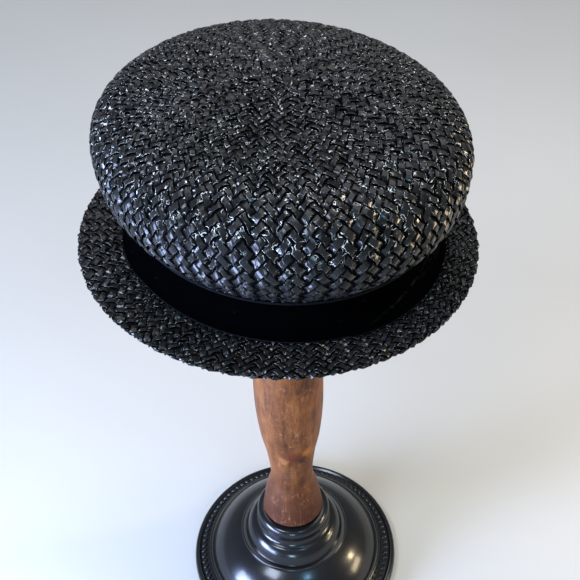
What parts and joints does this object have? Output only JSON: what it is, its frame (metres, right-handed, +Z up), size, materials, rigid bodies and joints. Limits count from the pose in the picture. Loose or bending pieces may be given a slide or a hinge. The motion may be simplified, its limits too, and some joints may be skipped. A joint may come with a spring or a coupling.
{
  "type": "bubble hat on a hat stand",
  "caption": "Woven straw bubble hat with a bulging oval crown, short brim and velvet ribbon band, standing on a turned wooden post with a stepped round metal base.",
  "frame": {"origin": "centre of the stand's flat underside, on the surface that it stands on", "axes": "+Z up along the stand's post, -Y towards the hat's front, where the brim is widest"},
  "size_m": [0.2312, 0.2456, 0.46],
  "materials": {
    "straw": "woven black straw with a satin sheen",
    "velvet": "black velvet pile",
    "base_metal": "glossy black bronze",
    "turned_wood": "satin reddish brown, knotted"
  },
  "bodies": {
    "root": {"crown": "straw", "brim": "straw", "band": "velvet", "stand_base": "base_metal", "stand_post": "turned_wood", "stand_head": "turned_wood"}
  },
  "joints": []
}
